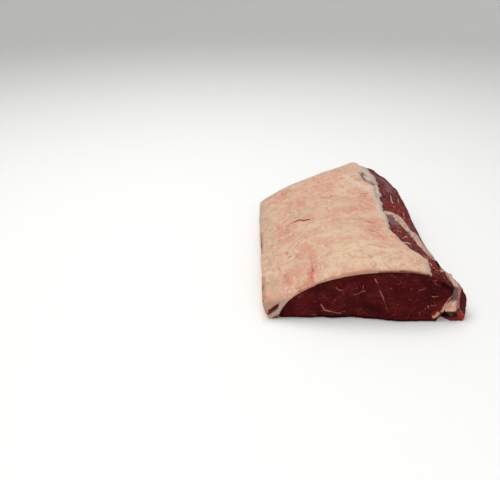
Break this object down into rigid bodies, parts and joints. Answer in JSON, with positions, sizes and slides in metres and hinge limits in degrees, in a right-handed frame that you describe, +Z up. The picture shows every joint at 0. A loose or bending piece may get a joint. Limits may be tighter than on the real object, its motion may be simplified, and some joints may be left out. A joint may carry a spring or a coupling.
{
  "type": "raw beef striploin",
  "caption": "Whole boneless raw beef loin joint with a fat cap on top, a low arched cut face at each end and a lean flank.",
  "frame": {"origin": "middle of the underside's footprint, on the surface that the joint rests on", "axes": "+X across the loin from the thin tail edge to the thick chine edge, +Y along the loin from the shown cut face to the far one, +Z up to the fat cap"},
  "size_m": [0.2414, 0.4078, 0.0696],
  "materials": {
    "lean": "moist dark red lean beef, fine grain, thin white marbling; stands in for meat",
    "fat": "smooth cream to pink beef fat with faint red veins; stands in for fat",
    "thin_lean": "moist red lean beef; stands in for meat",
    "side_lean": "moist red lean beef under pale skin; stands in for meat",
    "seam": "soft pink seam fat under lilac silverskin; stands in for fat"
  },
  "bodies": {
    "root": {"eye_muscle": "lean", "fat_cap": "fat", "tail_muscle": "thin_lean", "strap_muscle": "side_lean", "seam_fat": "seam"}
  },
  "joints": []
}
